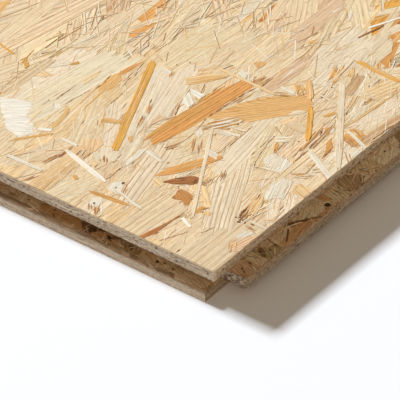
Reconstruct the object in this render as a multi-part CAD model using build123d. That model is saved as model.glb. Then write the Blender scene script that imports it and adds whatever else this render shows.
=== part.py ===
from build123d import *
import os

# One oriented strand board (OSB) floor panel with a tongue and groove milled round all four edges.
# Millimetres, +Z up. The panel lies flat: X is its length, Y its width, Z its thickness.
# The groove runs along the -X end and the +Y side, the tongue along the +X end and the -Y side.

# Upper face, which is the area that one laid panel covers
face_length = 2500.0
face_width = 675.0
thickness = 18.0

# Groove edge: a slot between a short upper lip and a longer lower lip
upper_lip = 6.0
groove_height = 7.0
groove_depth = 11.3
lower_lip_reach = 3.0
lower_lip_ease = 0.5

# Tongue edge: what the next panel's groove takes, less the play of the joint
flank_play = 0.1
tip_play = 0.5
heel_play = 0.3
tip_ease = 0.4

# Heights of the two edges, from the underside
groove_top = thickness - upper_lip
groove_floor = groove_top - groove_height
tongue_top = groove_top - flank_play
tongue_bottom = groove_floor + flank_play

# Reaches of the two edges, from the edge of the upper face
tongue_length = groove_depth - tip_play
heel_setback = lower_lip_reach + heel_play

# Overall size, with the origin under the middle of it
overall_length = lower_lip_reach + face_length + tongue_length
overall_width = lower_lip_reach + face_width + tongue_length


def milled_section(face_span):
    """Section across a panel that has its groove at u = 0 and its tongue at u = face_span."""
    heel = face_span - heel_setback
    tip = face_span + tongue_length
    lip = -lower_lip_reach
    outline = Polyline(
        (lip, 0),
        (heel, 0),
        (heel, tongue_bottom),
        (tip - tip_ease, tongue_bottom),
        (tip, tongue_bottom + tip_ease),
        (tip, tongue_top - tip_ease),
        (tip - tip_ease, tongue_top),
        (face_span, tongue_top),
        (face_span, thickness),
        (0, thickness),
        (0, groove_top),
        (groove_depth, groove_top),
        (groove_depth, groove_floor),
        (lip + lower_lip_ease, groove_floor),
        (lip, groove_floor - lower_lip_ease),
        close=True,
    )
    return make_face(outline)


# Each pair of opposite edges is milled right through in one pass, so the panel is what both passes leave:
# its section along X, run the whole width, cut by its section along Y, run the whole length.
groove_end = Plane(
    origin=(lower_lip_reach - overall_length / 2, 0, 0), x_dir=(1, 0, 0), z_dir=(0, -1, 0)
)
groove_side = Plane(
    origin=(0, overall_width / 2 - lower_lip_reach, 0), x_dir=(0, -1, 0), z_dir=(-1, 0, 0)
)
end_pass = extrude(groove_end * milled_section(face_length), amount=overall_width / 2, both=True)
side_pass = extrude(groove_side * milled_section(face_width), amount=overall_length / 2, both=True)
osb_panel = end_pass & side_pass

os.makedirs("parts", exist_ok=True)
export_step(osb_panel, "parts/osb_panel.step")
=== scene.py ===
import math

import bpy
import numpy as np
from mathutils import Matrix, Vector


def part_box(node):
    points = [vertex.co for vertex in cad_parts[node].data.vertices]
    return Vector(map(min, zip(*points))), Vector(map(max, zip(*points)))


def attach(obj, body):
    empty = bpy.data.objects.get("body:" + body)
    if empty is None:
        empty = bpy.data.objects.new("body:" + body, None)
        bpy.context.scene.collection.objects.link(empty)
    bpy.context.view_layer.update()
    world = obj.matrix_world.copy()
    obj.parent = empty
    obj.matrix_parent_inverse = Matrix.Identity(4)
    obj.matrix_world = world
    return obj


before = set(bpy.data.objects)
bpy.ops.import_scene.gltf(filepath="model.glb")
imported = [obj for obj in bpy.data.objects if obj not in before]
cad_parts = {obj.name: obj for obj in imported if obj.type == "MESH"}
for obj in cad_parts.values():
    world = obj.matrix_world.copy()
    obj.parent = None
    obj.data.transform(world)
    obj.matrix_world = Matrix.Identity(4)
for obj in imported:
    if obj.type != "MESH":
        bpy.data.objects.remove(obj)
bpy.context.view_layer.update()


# The board: one oriented strand board panel, its softwood strands glued and pressed hard and flat in a hot
# press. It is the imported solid. Its edges are milled to a tongue and a groove, which leaves the strands cut
# across, so the colour depends on the way that each face looks.

mm = 0.001
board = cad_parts["osb_panel"]
board_low, board_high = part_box("osb_panel")
lip_reach = 3.0 * mm
tongue_reach = 10.8 * mm
face_left = board_low.x + lip_reach
face_right = board_high.x - tongue_reach
face_front = board_low.y + tongue_reach
face_back = board_high.y - lip_reach
face_top = board_high.z


class Signal:
    """A socket of a material, or the empty material itself. Sums of signals add Math nodes."""

    def __init__(self, tree, socket=None):
        self.tree = tree
        self.socket = socket

    def node(self, kind, settings, sockets, output=0):
        """Adds a node: first its settings, then the values or links of its sockets."""
        made = self.tree.nodes.new(kind)
        for name, value in settings.items():
            setattr(made, name, value)
        for name, value in sockets.items():
            if isinstance(value, Signal):
                self.tree.links.new(value.socket, made.inputs[name])
            else:
                made.inputs[name].default_value = value
        return Signal(self.tree, None if output is None else made.outputs[output])

    def parts(self):
        """The three numbers of a vector or a colour."""
        first = self.node("ShaderNodeSeparateXYZ", {}, {"Vector": self})
        return [Signal(self.tree, socket) for socket in first.socket.node.outputs]

    def maths(self, operation, first, second=0.0, third=0.0):
        return self.node("ShaderNodeMath", {"operation": operation}, {0: first, 1: second, 2: third})

    def __add__(self, other):
        return self.maths("ADD", self, other)

    def __sub__(self, other):
        return self.maths("SUBTRACT", self, other)

    def __rsub__(self, other):
        return self.maths("SUBTRACT", other, self)

    def __mul__(self, other):
        return self.maths("MULTIPLY", self, other)

    def __truediv__(self, other):
        return self.maths("DIVIDE", self, other)

    __radd__ = __add__
    __rmul__ = __mul__

    def __abs__(self):
        return self.maths("ABSOLUTE", self)

    def step(self, start, end):
        """0 below start, 1 above end, and smooth between them."""
        settings = {"interpolation_type": "SMOOTHSTEP"}
        return self.node("ShaderNodeMapRange", settings, {"Value": self, "From Min": start, "From Max": end})

    def noise(self, x, y, z, detail=2.0, roughness=0.5):
        """Noise over three numbers that are already in its own units, from about 0.2 to 0.8."""
        place = self.node("ShaderNodeCombineXYZ", {}, {"X": x, "Y": y, "Z": z})
        sockets = {"Vector": place, "Scale": 1.0, "Detail": detail, "Roughness": roughness}
        return self.node("ShaderNodeTexNoise", {}, sockets)

    def blend(self, colour_a, colour_b, share):
        """Colour a where the share is 0 and colour b where it is 1."""
        sockets = {0: share, 6: colour_a, 7: colour_b}
        return self.node("ShaderNodeMix", {"data_type": "RGBA"}, sockets, output=2)

    def shade(self, colour, amount):
        """A colour made lighter or darker by a factor."""
        return self.node("ShaderNodeVectorMath", {"operation": "SCALE"}, {0: colour, "Scale": amount})


def new_finish(name):
    """An empty material, as a signal to hang nodes on."""
    material = bpy.data.materials.new(name)
    material.use_nodes = True
    material.node_tree.nodes.clear()
    return material, Signal(material.node_tree)


def close_finish(start, colour, roughness, height, bump_strength):
    """Ends a wood finish in one matt shader with a fine bump."""
    bump_depth = 0.2 * mm
    shine = 0.25
    relief = {"Strength": bump_strength, "Distance": bump_depth, "Height": height}
    bump = start.node("ShaderNodeBump", {}, relief)
    sockets = {"Base Color": colour, "Roughness": roughness, "Normal": bump, "Specular IOR Level": shine}
    shader = start.node("ShaderNodeBsdfPrincipled", {}, sockets)
    start.node("ShaderNodeOutputMaterial", {"target": "ALL"}, {"Surface": shader}, output=None)


def pigment(red, green, blue):
    """Linear colour of a pigment that is named by its 8-bit screen colour in full light."""
    full_light = 1.10
    parts = []
    for value in (red, green, blue):
        share = value / 255
        linear = share / 12.92 if share <= 0.04045 else ((share + 0.055) / 1.055) ** 2.4
        parts.append(linear / full_light)
    return tuple(parts)


def paint(red, green, blue):
    """The same pigment for a colour socket."""
    return pigment(red, green, blue) + (1.0,)


edge_finish, edge = new_finish("milled_edges")
place = edge.node("ShaderNodeTexCoord", {}, {}, output="Object")
outward = edge.node("ShaderNodeNewGeometry", {}, {}, output="Normal")
across_x, across_y, height = [part / mm for part in place.parts()]
turn_x, turn_z = outward.parts()[::2]
on_end = abs(turn_x).step(0.5, 0.8)
on_flat = abs(turn_z).step(0.78, 0.95)
on_side = (1 - on_end) * (1 - on_flat)
along = across_y * on_end + across_x * (1 - on_end)
through = height * (1 - on_flat) + (across_x * on_end + across_y * (1 - on_end)) * on_flat

# Heights in millimetres over which the edge turns from the lower lip to the core, and on to the upper lip
core_floor = (4.6, 5.2)
core_roof = (11.9, 12.2)
above_lip = height.step(*core_floor)
in_core = above_lip * (1 - height.step(*core_roof))

# Each noise is so many waves to the millimetre along the edge and through the board
layers = edge.noise(along * 0.030, through * 0.8, on_end * 7.0 + on_flat * 3.0, detail=3.0, roughness=0.6)
fibres = edge.noise(along * 0.12, through * 1.3, on_end * 5.0 + 11.0, detail=4.0, roughness=0.75)
grit = edge.noise(along * 0.6, through * 1.3, on_end * 3.0 + 23.0, detail=2.0, roughness=0.6)
dashes = edge.noise(along * 0.42, through * 1.15, on_end * 9.0 + 31.0, detail=1.0, roughness=0.6)
dash_zone = edge.noise(along * 0.06, through * 0.20, 71.0).step(0.34, 0.60)
dash = dashes.step(0.53, 0.64) * (0.35 + 0.65 * dash_zone)


def streaked(dark_streak, light_streak):
    """Wood cut across its layers, in streaks of two pigments."""
    return edge.blend(paint(*dark_streak), paint(*light_streak), layers.step(0.3, 0.7))


lip_colour = streaked((190, 164, 130), (222, 200, 168))
core_low = streaked((158, 138, 113), (186, 166, 139))
core_high = streaked((164, 132, 97), (192, 159, 120))
end_colour = streaked((176, 158, 136), (208, 192, 170))
flat_colour = streaked((176, 138, 96), (212, 178, 132))
core_colour = edge.blend(core_low, core_high, height.step(7.5, 11.6))
side_colour = edge.blend(lip_colour, core_colour, in_core)
edge_colour = edge.blend(side_colour, end_colour, on_end)
edge_colour = edge.blend(edge_colour, flat_colour, on_flat)
contrast = 1.5 - 0.5 * on_end
edge_colour = edge.shade(edge_colour, 1.05 + ((fibres - 0.5) * 1.25 + (grit - 0.5) * 0.97) * contrast)

# Darker places: the tongue's cut end, darker end grain with dark specks and partly a painted shade from the
# upper lip, a painted shade on the heel below the tongue and along the lower lip's outer edge, and the dashes
# The tongue's cut end: darker end grain, partly a painted shade from the upper lip
cut_end = on_end * in_core
# Painted shade on the heel under the tongue, on the tongued side
shade_below_tongue = on_side * (1 - above_lip) * (1 - across_y.step(-10.0, 10.0))
# Painted shade along the lower lip's outer edge, which the upper lip keeps from the key light
lip_edge_shade = height.step(3.7, 4.8) * (1 - height.step(5.1, 5.4)) * (1 - on_flat)
edge_colour = edge.shade(edge_colour, 1 - 0.12 * cut_end - 0.36 * shade_below_tongue)
dark_places = [
    (paint(84, 64, 46), dashes.step(0.43, 0.55) * cut_end * 0.75),
    (paint(138, 110, 78), lip_edge_shade * 0.65),
    (paint(92, 70, 50), dash * (0.45 + 0.40 * height.step(4.0, 7.0))),
]
for dark_paint, share in dark_places:
    edge_colour = edge.blend(edge_colour, dark_paint, share)

# The arris of the upper face is cut through the pale outermost strands; its lighter band is also a painted
# highlight, as a slightly rounded arris catches the light
edge_colour = edge.blend(edge_colour, paint(228, 203, 166), height.step(17.0, 17.8))
close_finish(edge, edge_colour, 0.74 + fibres * 0.12, fibres + grit * 0.8 - dash, 0.7)
board.data.materials.clear()
board.data.materials.append(edge_finish)


# The strands of the upper face: slices of pine and spruce 60 to 120 mm long and a few tenths of a millimetre
# thick, laid mostly along the board, glued over one another and pressed flat, then cut off level with the
# milled edges. Each is a closed thin slice, in one of three layers, wide ones below and splinters on top.


def wood_finish(name, fibre_contrast, grit_share, fleck_start):
    """Sawn softwood. A strand's tint and growth rings are kept on its faces, and its grain in a map."""
    finish, wood = new_finish(name)

    def kept_on_faces(title):
        return wood.node("ShaderNodeAttribute", {"attribute_name": title}, {}, output="Vector")

    tint = kept_on_faces("tint")
    stripe_strength, stripe_spacing, seed = kept_on_faces("figure").parts()
    heart_u, heart_v, heart_bow = kept_on_faces("heart").parts()
    grain_u, grain_v = wood.node("ShaderNodeUVMap", {"uv_map": "grain"}, {}).parts()[:2]

    def grain_noise(along, across, shift, detail=2.0, roughness=0.5):
        """Noise of so many waves to the millimetre along the grain and across it."""
        return wood.noise(grain_u * along, grain_v * across, seed + shift, detail, roughness)

    wander = grain_noise(0.03, 0.10, 0.0, detail=1.0) - 0.5
    cloud = grain_noise(0.05, 0.14, 17.0)
    fibre = grain_noise(0.012, 0.62, 3.0, detail=3.0, roughness=0.75)
    grit = grain_noise(0.35, 0.9, 61.0, roughness=0.7)
    streak = grain_noise(0.018, 0.9, 41.0, roughness=0.6).step(0.50, 0.72)
    hair = grain_noise(0.022, 2.1, 9.0, detail=1.0).step(0.56, 0.68)
    fleck = grain_noise(0.10, 1.6, 29.0, detail=1.0).step(fleck_start, fleck_start + 0.06)

    # Bundles of fibres, each of one tone
    bundle_place = {"X": grain_u * 0.05 + seed * 13.0, "Y": grain_v * 0.6 + seed * 7.0}
    bundle_vector = wood.node("ShaderNodeCombineXYZ", {}, bundle_place)
    bundle_sockets = {"Vector": bundle_vector, "Scale": 1.0}
    bundle = wood.node("ShaderNodeTexVoronoi", {"voronoi_dimensions": "2D"}, bundle_sockets, output="Color")
    bundle_tone = bundle.parts()[0]

    # Growth rings about the heart, dark towards the end of each year
    from_heart_v = grain_v - heart_v + wander * 3.0
    from_heart_u = (grain_u - heart_u) * heart_bow
    ring_distance = wood.maths("SQRT", from_heart_v * from_heart_v + from_heart_u * from_heart_u)
    ring_phase = wood.maths("FRACT", ring_distance / stripe_spacing)
    stripe = ring_phase.step(0.56, 0.88) * (1 - ring_phase.step(0.91, 0.99)) * stripe_strength

    tone = 0.965 + (fibre - 0.5) * fibre_contrast + (grit - 0.5) * grit_share
    colour = wood.shade(tint, tone + cloud * 0.10 + bundle_tone * 0.10)
    stains = [
        ((0.90, 0.78, 0.60), streak * 0.5),
        ((0.72, 0.54, 0.36), stripe),
        ((0.82, 0.68, 0.50), hair * 0.62),
        ((0.62, 0.46, 0.30), fleck * 0.60),
    ]
    for stain, share in stains:
        stained = wood.node("ShaderNodeVectorMath", {"operation": "MULTIPLY"}, {0: colour, 1: stain})
        colour = wood.blend(colour, stained, share)
    relief = fibre - stripe * 0.3 - hair * 0.2 + grit * grit_share
    close_finish(wood, colour, 0.56 + fibre * 0.16, relief, 0.60)
    return finish


strand_finish = wood_finish("pressed_strands", 0.66, 0.36, 0.625)
white = pigment(241, 233, 215)
pale = pigment(233, 215, 183)
cream = pigment(232, 208, 168)
green_cream = pigment(230, 209, 171)
honey = pigment(236, 204, 154)
pink_tan = pigment(223, 190, 152)
tan = pigment(227, 181, 116)
amber = pigment(229, 171, 78)
orange_brown = pigment(224, 164, 92)
brown = pigment(180, 124, 74)
bark = pigment(170, 110, 57)
dark = pigment(96, 62, 38)


class StrandLayer:
    """Strands laid on one level face, one over another, kept as arrays until they are joined as one mesh."""

    # How far a foot spreads, how far the edge of a top falls, and how the rim's width ripples round it
    foot_spread = 0.04 * mm
    top_round = 0.012 * mm
    ripple_x = 9100
    ripple_y = 5700
    sharpest_corner = 0.4

    def __init__(self, left, right, front, back, level, up=1):
        self.sides = (left, right, front, back)
        self.level = level
        self.up = up
        self.corners = []
        self.grain = []
        self.bottoms = []
        self.rims = []
        self.tops = []
        self.strands = []
        self.used = 0

    def trim(self, outline):
        """The part of an outline that lies on the face."""
        for axis, limit, keep in zip((0, 0, 1, 1), self.sides, (1, -1, 1, -1)):
            inside = (outline[:, axis] - limit) * keep
            if inside.min() >= 0:
                continue
            if inside.max() <= 0:
                return None
            kept = []
            for this, point in enumerate(outline):
                before = outline[this - 1]
                if inside[this] * inside[this - 1] < 0:
                    share = inside[this - 1] / (inside[this - 1] - inside[this])
                    kept.append(before + (point - before) * share)
                if inside[this] >= 0:
                    kept.append(point)
            outline = np.array(kept)
        return outline if len(outline) > 2 else None

    def room_inside(self, outline, ahead, outward, wanted):
        """How far in a strand's top can start: as wanted, but short of the side across from it."""
        tiny = 1e-15
        share_of_room = 0.4
        shortest_kept = 0.2
        shrink = 0.3
        edges = np.roll(outline, -1, axis=0) - outline
        lengths = np.linalg.norm(edges, axis=1)
        gaps = outline[None, :, :] - outline[:, None, :]
        turn = outward[:, None, 1] * edges[None, :, 0] - outward[:, None, 0] * edges[None, :, 1]
        turn = np.where(np.abs(turn) < tiny, tiny, turn)
        reach = (gaps[..., 0] * edges[None, :, 1] - gaps[..., 1] * edges[None, :, 0]) / turn
        share = (gaps[..., 1] * outward[:, None, 0] - gaps[..., 0] * outward[:, None, 1]) / turn
        met = (reach > 1e-4 * mm) & (share >= 0) & (share <= 1)
        inset = np.minimum(wanted, share_of_room * np.where(met, reach, 1.0).min(axis=1))
        for _ in range(3):
            crown = outline - outward * inset[:, None]
            kept = ((np.roll(crown, -1, axis=0) - crown) * ahead).sum(axis=1)
            short = kept < shortest_kept * lengths
            inset = np.where(short | np.roll(short, 1), shrink * inset, inset)
        return inset

    def lay(self, outline, middle, heading, sunk, proud, tint, figure, heart, rim_width, rim_tint):
        """Adds a strand: its outline in plan, its grain's middle and heading, heights, colour and figure."""
        outline = self.trim(outline)
        if outline is None:
            return
        count = len(outline)
        ahead = np.roll(outline, -1, axis=0) - outline
        ahead /= np.maximum(np.linalg.norm(ahead, axis=1, keepdims=True), 1e-9)
        outward = np.stack([ahead[:, 1], -ahead[:, 0]], axis=1)
        outward = outward + np.roll(outward, 1, axis=0)
        outward /= np.maximum(np.linalg.norm(outward, axis=1, keepdims=True), self.sharpest_corner)
        left, right, front, back = self.sides
        foot = np.clip(outline + outward * self.foot_spread, (left, front), (right, back))
        uneven = np.abs(np.sin(outline[:, 0] * self.ripple_x + outline[:, 1] * self.ripple_y))
        inset = self.room_inside(outline, ahead, outward, rim_width * (0.3 + 1.3 * uneven))
        crown = outline - outward * inset[:, None]
        grain_way = np.array([math.cos(heading), math.sin(heading)])
        cross_way = np.array([-grain_way[1], grain_way[0]])
        for ring, rise in ((crown, proud), (outline, proud - self.top_round), (foot, sunk)):
            heights = np.full((count, 1), self.level + self.up * rise)
            self.corners.append(np.hstack([ring, heights]))
            offset = (ring - middle) / mm
            self.grain.append(np.stack([offset @ grain_way, offset @ cross_way], axis=1))
        rings = [list(range(self.used + turn * count, self.used + (turn + 1) * count)) for turn in range(3)]
        strand = len(self.strands)
        faces = [rings[0]]
        for upper, lower in zip(rings[:-1], rings[1:]):
            faces += [[upper[i - 1], lower[i - 1], lower[i], upper[i]] for i in range(count)]
        faces.append(rings[2][::-1])
        if self.up < 0:
            faces = [face[::-1] for face in faces]
        rim_shares = np.clip(1.7 * uneven - 0.5, 0, 1)
        self.tops.append((proud, faces[0], list(zip(faces[1:count + 1], rim_shares)), strand))
        self.rims.extend((face, strand, 1.0) for face in faces[count + 1:-1])
        self.bottoms.append((faces[-1], strand, 1.0))
        self.strands.append((tint, np.array(tint) * rim_tint, figure, heart))
        self.used += 3 * count

    def join(self, name, finish):
        """Makes the one mesh, with each strand's colour and figure on its faces, riding on the board."""
        corners = np.vstack(self.corners)
        grain = np.vstack(self.grain)
        faces = self.bottoms + self.rims
        for proud, top, rim, strand in sorted(self.tops, key=lambda laid: laid[0]):
            faces += [(face, strand, share) for face, share in rim]
            faces.append((top, strand, 0.0))
        mesh = bpy.data.meshes.new(name)
        mesh.from_pydata(corners.tolist(), [], [face for face, strand, share in faces])
        owner = np.array([strand for face, strand, share in faces])
        rim_share = np.array([share for face, strand, share in faces])[:, None]
        face_tints, rim_tints, figures, hearts = [np.array(kept)[owner] for kept in zip(*self.strands)]
        tints = face_tints + (rim_tints - face_tints) * rim_share
        for title, values in (("tint", tints), ("figure", figures), ("heart", hearts)):
            layer = mesh.attributes.new(title, "FLOAT_VECTOR", "FACE")
            layer.data.foreach_set("vector", values.astype(np.float32).ravel())
        loops = np.empty(len(mesh.loops), dtype=np.int32)
        mesh.loops.foreach_get("vertex_index", loops)
        for title, places in (("grain", grain), ("OFBake", self.bake_map(corners))):
            layer = mesh.uv_layers.new(name=title)
            layer.data.foreach_set("uv", places[loops].astype(np.float32).ravel())
        mesh.materials.append(finish)
        piece = bpy.data.objects.new(name, mesh)
        bpy.context.scene.collection.objects.link(piece)
        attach(piece, "root")

    def bake_map(self, corners):
        """The plan of the face, cut in two halves that lie one over the other on the square map."""
        left, right, front, back = self.sides
        middles = [self.corners[number - number % 3][:, 0].mean() for number in range(len(self.corners))]
        owner = np.repeat(middles, [len(ring) for ring in self.corners])
        half = (right - left) / 2
        far = owner > left + half
        margin = 80 * mm
        start = np.where(far, left + half - margin, left)
        run = (corners[:, 0] - start) / (half + margin)
        side = (corners[:, 1] - front) / (back - front)
        return np.stack([0.002 + 0.996 * run, 0.004 + 0.49 * side + 0.5 * far], axis=1)


def torn_outline(length, width, slants, narrow, ragged, side_points, end_points, tooth, chance):
    """A strand about its own middle, grain along the first axis: split sides and slanted, torn ends."""
    side = np.linspace(-0.5, 0.5, side_points)
    girth = np.ones(side_points)
    girth[0], girth[-1] = narrow
    wave = 1 + ragged * chance.uniform(-0.5, 0.5, (2, side_points))
    lower = np.stack([side * length, -0.5 * width * girth * wave[0]], axis=1)
    upper = np.stack([side * length, 0.5 * width * girth * wave[1]], axis=1)
    across = np.linspace(-0.5, 0.5, end_points + 2)[1:-1]
    notches = chance.uniform(-0.5, 0.5, (2, end_points)) * tooth
    tip_b = np.stack([0.5 * length + notches[1], across * width * narrow[1]], axis=1)
    tip_a = np.stack([-0.5 * length + notches[0], across[::-1] * width * narrow[0]], axis=1)
    outline = np.vstack([lower, tip_b, upper[::-1], tip_a])
    lean = np.where(outline[:, 0] > 0, slants[1], slants[0])
    end_share = np.clip(np.abs(outline[:, 0]) / (0.5 * length), 0, 1) ** 2
    outline[:, 0] += lean * end_share * outline[:, 1]
    return outline


def turned(outline, middle, heading):
    """An outline moved to its place on the face."""
    cos, sin = math.cos(heading), math.sin(heading)
    return outline @ np.array([[cos, sin], [-sin, cos]]) + middle


def grain_heart(length, width, chance):
    """Where the growth rings' middle lies under a strand: off to one side, or in it for an arched figure."""
    arched_share = 0.22
    arched = chance.random() < arched_share
    bow = chance.uniform(0.10, 0.22) if arched else chance.uniform(0.01, 0.05)
    off = chance.uniform(-0.3, 0.3) if arched else chance.choice([-1, 1]) * chance.uniform(0.8, 2.5)
    return (chance.uniform(-0.6, 0.6) * length / mm, off * width / mm, bow)


foot_sink = -0.01 * mm
rim_reach = 0.22 * mm
# Each strand's rim and side walls take a darker tint: partly resin stain on torn edges, partly painted shade
# at the steps between strands
rim_stain_and_shade = np.array([0.82, 0.71, 0.57])
rim_strengths = (0.1, 0.9)
rim_share_of_width = 0.2
figure_seeds = (0, 500)


def scatter(layer, count, kinds, shades, headings, heights, seed, keep_clear=None):
    """Strews strands evenly over a face. Kinds and shades are lists of (share of the whole, what), headings
    are the mean and spread in degrees, and heights the least and most in millimetres."""
    overlap = 0.2
    stray_share = 0.10
    stray_turn = 80
    slant_spread = 0.6
    tip_widths = (0.35, 1.0)
    tone_spread = 0.03
    tint_spread = 0.010
    stripe_strengths = (0.40, 0.30)
    strongest_stripe = 0.9
    ring_spacings = (1.6, 3.6)
    chance = np.random.default_rng(seed)
    left, right, front, back = layer.sides
    length_x, length_y = right - left, back - front
    columns = max(1, round(math.sqrt(count * length_x / length_y)))
    rows = max(1, round(count / columns))
    cells = [(column, row) for column in range(columns) for row in range(rows)]
    chance.shuffle(cells)
    kind_shares = [share for share, kind in kinds]
    shade_shares = [share for share, shade in shades]
    for column, row in cells:
        x = left + (column + chance.uniform(-overlap, 1 + overlap)) * length_x / columns
        y = front + (row + chance.uniform(-overlap, 1 + overlap)) * length_y / rows
        kind = kinds[chance.choice(len(kinds), p=kind_shares)][1]
        lengths, widths, ragged, side_points, end_points = kind
        length = chance.uniform(*lengths) * mm
        width = chance.uniform(*widths) * mm
        stray = chance.random() < stray_share
        if stray:
            heading = math.radians(chance.uniform(-stray_turn, stray_turn))
        else:
            heading = math.radians(chance.normal(*headings))
        slants = chance.normal(0, slant_spread, 2)
        narrow = chance.uniform(*tip_widths, 2)
        tooth = ragged * 2.0 * width
        outline = torn_outline(length, width, slants, narrow, ragged, side_points, end_points, tooth, chance)
        shade = np.array(shades[chance.choice(len(shades), p=shade_shares)][1])
        shade = shade * (1 + chance.normal(0, tone_spread)) * (1 + chance.normal(0, tint_spread, 3))
        strength = min(strongest_stripe, max(0.0, chance.normal(*stripe_strengths)))
        figure = (strength, chance.uniform(*ring_spacings), chance.uniform(*figure_seeds))
        proud = chance.uniform(*heights) * mm
        heart = grain_heart(length, width, chance)
        rim_tint = rim_stain_and_shade ** chance.uniform(*rim_strengths)
        if keep_clear and keep_clear(x, y, 0.5 * length):
            continue
        middle = np.array([x, y])
        layer.lay(turned(outline, middle, heading), middle, heading, foot_sink, proud, shade, figure, heart,
                  min(rim_reach, rim_share_of_width * width), rim_tint)


# Kinds of strand: lengths and widths in millimetres, how ragged, and the points on each side and end
wide_strand = ((60, 115), (11, 27), 0.24, 2, 2)
middle_strand = ((45, 110), (5, 12), 0.24, 3, 1)
narrow_strand = ((25, 90), (2, 5), 0.30, 3, 1)
splinter = ((5, 40), (0.6, 2.2), 0.40, 2, 1)
common_shades = [
    (0.32, cream), (0.16, pale), (0.16, green_cream), (0.15, honey), (0.09, pink_tan), (0.07, tan),
    (0.02, amber), (0.02, orange_brown), (0.01, brown),
]
splinter_shades = [
    (0.16, white), (0.20, pale), (0.22, cream), (0.10, honey), (0.10, tan), (0.05, amber),
    (0.06, orange_brown), (0.07, brown), (0.04, bark),
]
bed_kinds = [(0.7, wide_strand), (0.3, middle_strand)]
cover_kinds = [(0.30, wide_strand), (0.40, middle_strand), (0.30, narrow_strand)]
splinter_kinds = [(0.30, narrow_strand), (0.70, splinter)]
hand_laid_reach = (190 * mm, 180 * mm)


def over_photographed_corner(x, y, reach):
    """Whether a strand of that reach comes over the corner whose strands are laid one by one further on."""
    return x - reach < face_left + hand_laid_reach[0] and y - reach < face_front + hand_laid_reach[1]


upper_face = (face_left, face_right, face_front, face_back, face_top)
bed_layer = StrandLayer(*upper_face)
scatter(bed_layer, 4100, bed_kinds, common_shades, headings=(0, 19), heights=(0.02, 0.08), seed=11)
bed_layer.join("strand_bed", strand_finish)
cover_layer = StrandLayer(*upper_face)
scatter(cover_layer, 4300, cover_kinds, common_shades, headings=(0, 21), heights=(0.08, 0.16), seed=12)
cover_layer.join("strand_cover", strand_finish)
splinter_layer = StrandLayer(*upper_face)
scatter(splinter_layer, 5600, splinter_kinds, splinter_shades, headings=(0, 24), heights=(0.16, 0.26),
        seed=13, keep_clear=over_photographed_corner)
splinter_layer.join("strand_splinters", strand_finish)


# The strands at the near corner of the upper face, which the photograph shows one by one. They are slices
# like the rest, and lie over the bulk layers in the order given here. Places are millimetres from the corner
# of the face, first along the board and then across it.

corner_layer = StrandLayer(*upper_face)
corner_of_face = np.array([face_left, face_front])
first_rise = 0.16
usual_step = 0.0012
long_strand_step = 0.002
above_bits = 0.07
among_bits = 0.04
stout = (0.5, 1.3)
tooth_width = 1.1
tip_shapes = {"torn": (0.45, 0.95), "pointed": (0.06, 0.2), "sliced": (0.9, 1.05)}
oat = pigment(226, 202, 164)
ivory = pigment(232, 221, 197)
sand = pigment(233, 191, 131)
fawn = pigment(231, 197, 147)
dun = pigment(208, 172, 130)
ochre = pigment(218, 165, 90)
russet = pigment(204, 144, 78)
cinnamon = pigment(188, 124, 66)
split = pigment(190, 146, 100)
# Dark brown of knots, and a painted shade in holes and in the gaps of splits
knot_and_gap_shade = pigment(116, 74, 44)
torn_bits = [split, cream, pale, tan]
brown_bits = [brown, split, tan, cream]


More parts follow.
